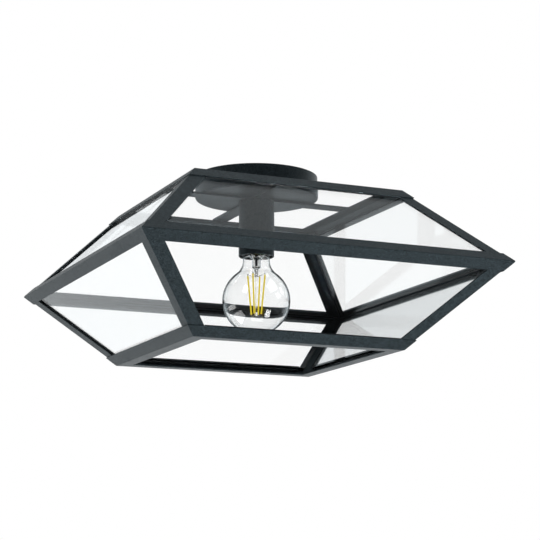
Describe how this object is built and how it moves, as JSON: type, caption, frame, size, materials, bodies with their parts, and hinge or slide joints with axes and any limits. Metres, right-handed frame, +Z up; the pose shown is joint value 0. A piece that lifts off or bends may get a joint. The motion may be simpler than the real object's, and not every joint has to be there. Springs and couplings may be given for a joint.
{
  "type": "porch ceiling lantern",
  "caption": "Square double-sloped porch ceiling lantern of folded sheet metal and clear glass, on a round canopy, with a clear globe bulb in a sleeved lampholder",
  "frame": {"origin": "middle of the two ceiling slots on the bracket's upper face, in the ceiling plane; the light hangs below it", "axes": "+Z up to the ceiling; X and Y square to the glass sides, -Y to the front side and +X to the right side; the bracket's strip runs along Y"},
  "size_m": [0.4396, 0.4396, 0.2165],
  "materials": {
    "powder_coat": "fine textured graphite powder coat, satin",
    "zinc_steel": "zinc plated sheet",
    "rubber_seal": "moulded rubber",
    "brass": "turned brass",
    "terminal_plastic": "moulded polyamide",
    "brown_insulation": "wire insulation",
    "blue_insulation": "wire insulation",
    "earth_insulation": "green and yellow wire insulation",
    "black_thermoset": "moulded thermoset, glossy",
    "porcelain": "unglazed",
    "brass_shell": "rolled sheet",
    "pane_glass": "clear float glass",
    "sealant": "glazing sealant",
    "bulb_glass": "clear blown glass",
    "nickel_plate": "nickel plated",
    "black_glass": "black vitrite",
    "solder": "soft solder",
    "circuit_board": "printed board",
    "stem_glass": "clear drawn glass",
    "phosphor": "yellow phosphor coating",
    "support_wire": "drawn wire"
  },
  "bodies": {
    "lantern": {"ceiling_bracket": "zinc_steel", "canopy": "powder_coat", "canopy_seal": "rubber_seal", "canopy_screws": "powder_coat", "earth_screw": "brass", "terminal_block": "terminal_plastic", "terminal_screws": "brass", "live_wire": "brown_insulation", "neutral_wire": "blue_insulation", "earth_wire": "earth_insulation", "threaded_nipple": "brass", "nipple_nut": "brass", "long_strap": "powder_coat", "left_strap": "powder_coat", "right_strap": "powder_coat", "sleeve": "powder_coat", "lampholder_cap": "black_thermoset", "lampholder_skirt": "black_thermoset", "lampholder_collar": "black_thermoset", "contact_base": "porcelain", "screw_shell": "brass_shell", "live_contact": "brass", "neutral_contact": "brass", "top_rail_front": "powder_coat", "top_rail_right": "powder_coat", "top_rail_back": "powder_coat", "top_rail_left": "powder_coat", "mid_rail_front": "powder_coat", "mid_rail_right": "powder_coat", "mid_rail_back": "powder_coat", "mid_rail_left": "powder_coat", "bottom_rail_front": "powder_coat", "bottom_rail_right": "powder_coat", "bottom_rail_back": "powder_coat", "bottom_rail_left": "powder_coat", "upper_rafter_front_right": "powder_coat", "upper_rafter_back_right": "powder_coat", "upper_rafter_back_left": "powder_coat", "upper_rafter_front_left": "powder_coat", "lower_rafter_front_right": "powder_coat", "lower_rafter_back_right": "powder_coat", "lower_rafter_back_left": "powder_coat", "lower_rafter_front_left": "powder_coat", "upper_pane_front": "pane_glass", "upper_pane_right": "pane_glass", "upper_pane_back": "pane_glass", "upper_pane_left": "pane_glass", "lower_pane_front": "pane_glass", "lower_pane_right": "pane_glass", "lower_pane_back": "pane_glass", "lower_pane_left": "pane_glass", "glazing_seals": "sealant"},
    "bulb_tip": {"cap_insulator": "black_glass", "centre_contact": "solder"},
    "bulb": {"bulb_envelope": "bulb_glass", "bulb_cap": "nickel_plate", "led_driver": "circuit_board", "bulb_stem": "stem_glass", "filaments": "phosphor", "filament_supports": "support_wire"}
  },
  "joints": [
    {"name": "bulb_drop", "type": "slide", "parent": "lantern", "child": "bulb_tip", "axis": [0, 0, -1], "range_m": [0, 0.018]},
    {"name": "bulb_turn", "type": "hinge", "parent": "bulb_tip", "child": "bulb", "pos_m": [0, 0, -0.08], "axis": [0, 0, -1], "range_deg": [0, 1785.62]}
  ],
  "couplings": [
    {"joint": "bulb_turn", "follows": "bulb_drop", "rad_per_m": 1731.4}
  ]
}
